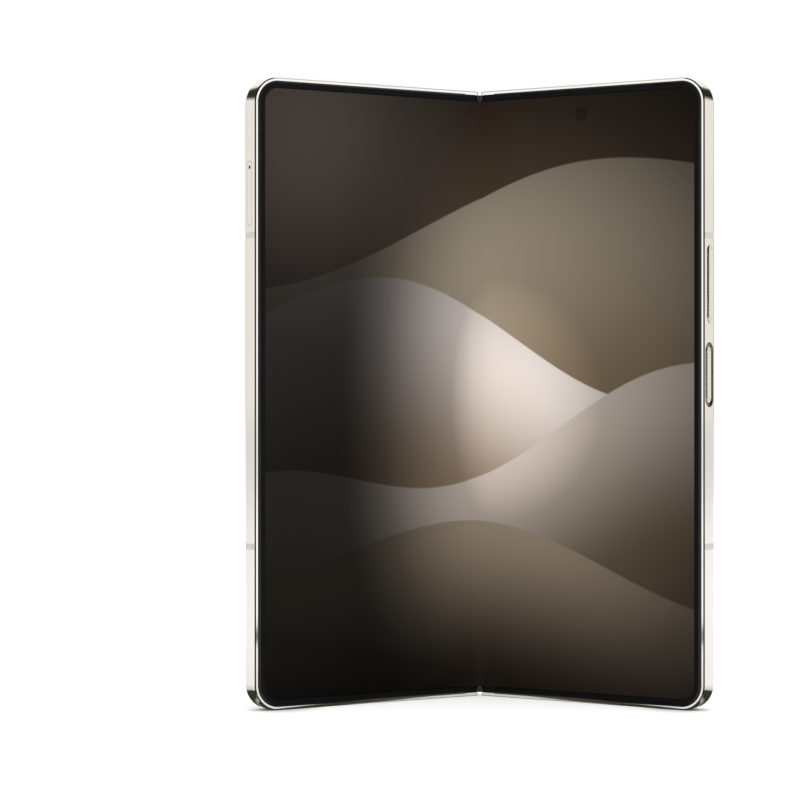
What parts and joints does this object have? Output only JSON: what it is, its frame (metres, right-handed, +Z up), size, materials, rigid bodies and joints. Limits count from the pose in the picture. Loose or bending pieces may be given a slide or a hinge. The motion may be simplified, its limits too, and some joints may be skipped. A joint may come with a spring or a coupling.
{
  "type": "foldable smartphone",
  "caption": "Book-style foldable phone standing half open: geared twin-axis hinge, bending inner display, cover display, rear camera plateau, side keys and card tray.",
  "frame": {"origin": "middle of the footprint, on the plane that the bottom edge stands on", "axes": "+Z up along the hinge, -Y towards the person who looks at the inner display, +X to the half with the keys and the rear cameras"},
  "size_m": [0.1148, 0.0393, 0.1549],
  "materials": {
    "frame_aluminium": "satin anodised",
    "antenna_plastic": "matt",
    "back_glass": "satin, coloured behind",
    "cover_glass": "polished, black behind",
    "plateau_aluminium": "satin anodised",
    "ring_metal": "polished chamfers",
    "lens_glass": "coated",
    "camera_black": "matt",
    "flash_plastic": "clear, fine rings",
    "cell_pouch": "laminate",
    "coil_copper": "enamelled wire",
    "board": "solder mask",
    "steel": "bright",
    "black_plastic": "fine texture",
    "flex_film": "polyimide",
    "key_aluminium": "satin anodised",
    "display_film": "polished film",
    "cover_panel": "dark panel",
    "trim_black": "satin",
    "hinge_steel": "sintered, burnished"
  },
  "bodies": {
    "spine": {"spine_cover": "plateau_aluminium", "spine_caps": "trim_black", "lower_hinge_bracket": "hinge_steel", "upper_hinge_bracket": "hinge_steel", "bracket_screws": "steel", "friction_discs": "steel", "display_fold": "display_film", "hinge_flex": "flex_film"},
    "left_half": {"left_frame": "frame_aluminium", "left_antenna_bands": "antenna_plastic", "cover_glass": "cover_glass", "cover_display": "cover_panel", "cover_camera": "camera_black", "left_battery": "cell_pouch", "sub_board": "board", "top_speaker": "black_plastic", "card_reader": "steel", "left_bezel": "trim_black", "left_display": "display_film", "left_wing_plate": "steel", "lower_left_rotator": "hinge_steel", "upper_left_rotator": "hinge_steel", "left_hinge_screws": "steel"},
    "right_half": {"right_frame": "frame_aluminium", "right_antenna_bands": "antenna_plastic", "right_back_glass": "back_glass", "camera_plateau": "plateau_aluminium", "camera_ring_upper": "ring_metal", "camera_ring_middle": "ring_metal", "camera_ring_lower": "ring_metal", "camera_glasses": "lens_glass", "camera_upper": "camera_black", "camera_middle": "camera_black", "camera_lower": "camera_black", "flash_lens": "flash_plastic", "right_battery": "cell_pouch", "charging_coil": "coil_copper", "main_board": "board", "usb_port": "steel", "bottom_speaker": "black_plastic", "haptic_motor": "steel", "key_flex": "flex_film", "inner_camera": "camera_black", "right_bezel": "trim_black", "right_display": "display_film", "right_wing_plate": "steel", "lower_right_rotator": "hinge_steel", "upper_right_rotator": "hinge_steel", "right_hinge_screws": "steel"},
    "power_key": {"power_key": "key_aluminium"},
    "volume_key": {"volume_key": "key_aluminium"},
    "card_tray": {"card_tray": "frame_aluminium"},
    "lower_left_pinion": {"lower_left_pinion": "hinge_steel"},
    "lower_left_idler": {"lower_left_idler": "hinge_steel"},
    "lower_right_idler": {"lower_right_idler": "hinge_steel"},
    "lower_right_pinion": {"lower_right_pinion": "hinge_steel"},
    "upper_left_pinion": {"upper_left_pinion": "hinge_steel"},
    "upper_left_idler": {"upper_left_idler": "hinge_steel"},
    "upper_right_idler": {"upper_right_idler": "hinge_steel"},
    "upper_right_pinion": {"upper_right_pinion": "hinge_steel"}
  },
  "joints": [
    {"name": "left_fold", "type": "hinge", "parent": "spine", "child": "left_half", "pos_m": [-0.00187, 0.0147, 0.07745], "axis": [0, 0, 1], "range_deg": [-32, 58], "deforming": ["display_fold", "hinge_flex"]},
    {"name": "right_fold", "type": "hinge", "parent": "spine", "child": "right_half", "pos_m": [0.00187, 0.0147, 0.07745], "axis": [0, 0, 1], "range_deg": [-58, 32], "deforming": ["display_fold", "hinge_flex"]},
    {"name": "lower_left_pinion_spin", "type": "hinge", "parent": "spine", "child": "lower_left_pinion", "pos_m": [-0.0027, 0.01727, 0.018], "axis": [0, 0, 1], "range_deg": [-116, 64]},
    {"name": "lower_left_idler_spin", "type": "hinge", "parent": "spine", "child": "lower_left_idler", "pos_m": [-0.0009, 0.01727, 0.018], "axis": [0, 0, 1], "range_deg": [-64, 116]},
    {"name": "lower_right_idler_spin", "type": "hinge", "parent": "spine", "child": "lower_right_idler", "pos_m": [0.0009, 0.01727, 0.018], "axis": [0, 0, 1], "range_deg": [-116, 64]},
    {"name": "lower_right_pinion_spin", "type": "hinge", "parent": "spine", "child": "lower_right_pinion", "pos_m": [0.0027, 0.01727, 0.018], "axis": [0, 0, 1], "range_deg": [-64, 116]},
    {"name": "upper_left_pinion_spin", "type": "hinge", "parent": "spine", "child": "upper_left_pinion", "pos_m": [-0.0027, 0.01727, 0.1369], "axis": [0, 0, 1], "range_deg": [-116, 64]},
    {"name": "upper_left_idler_spin", "type": "hinge", "parent": "spine", "child": "upper_left_idler", "pos_m": [-0.0009, 0.01727, 0.1369], "axis": [0, 0, 1], "range_deg": [-64, 116]},
    {"name": "upper_right_idler_spin", "type": "hinge", "parent": "spine", "child": "upper_right_idler", "pos_m": [0.0009, 0.01727, 0.1369], "axis": [0, 0, 1], "range_deg": [-116, 64]},
    {"name": "upper_right_pinion_spin", "type": "hinge", "parent": "spine", "child": "upper_right_pinion", "pos_m": [0.0027, 0.01727, 0.1369], "axis": [0, 0, 1], "range_deg": [-64, 116]},
    {"name": "power_key_press", "type": "slide", "parent": "right_half", "child": "power_key", "axis": [-0.848, 0.5299, 0], "range_m": [0, 0.00025], "stiffness_N_per_m": 5000},
    {"name": "volume_key_rock", "type": "hinge", "parent": "right_half", "child": "volume_key", "pos_m": [0.05437, -0.01616, 0.1043], "axis": [0.5299, 0.848, 0], "range_deg": [-0.9, 0.9], "stiffness_Nm_per_rad": 0.6},
    {"name": "card_tray_slide", "type": "slide", "parent": "left_half", "child": "card_tray", "axis": [-0.848, -0.5299, 0], "range_m": [0, 0.018]}
  ],
  "couplings": [
    {"joint": "right_fold", "follows": "left_fold", "ratio": -1},
    {"joint": "lower_left_pinion_spin", "follows": "left_fold", "ratio": -2},
    {"joint": "lower_left_idler_spin", "follows": "left_fold", "ratio": 2},
    {"joint": "lower_right_idler_spin", "follows": "left_fold", "ratio": -2},
    {"joint": "lower_right_pinion_spin", "follows": "left_fold", "ratio": 2},
    {"joint": "upper_left_pinion_spin", "follows": "left_fold", "ratio": -2},
    {"joint": "upper_left_idler_spin", "follows": "left_fold", "ratio": 2},
    {"joint": "upper_right_idler_spin", "follows": "left_fold", "ratio": -2},
    {"joint": "upper_right_pinion_spin", "follows": "left_fold", "ratio": 2}
  ]
}
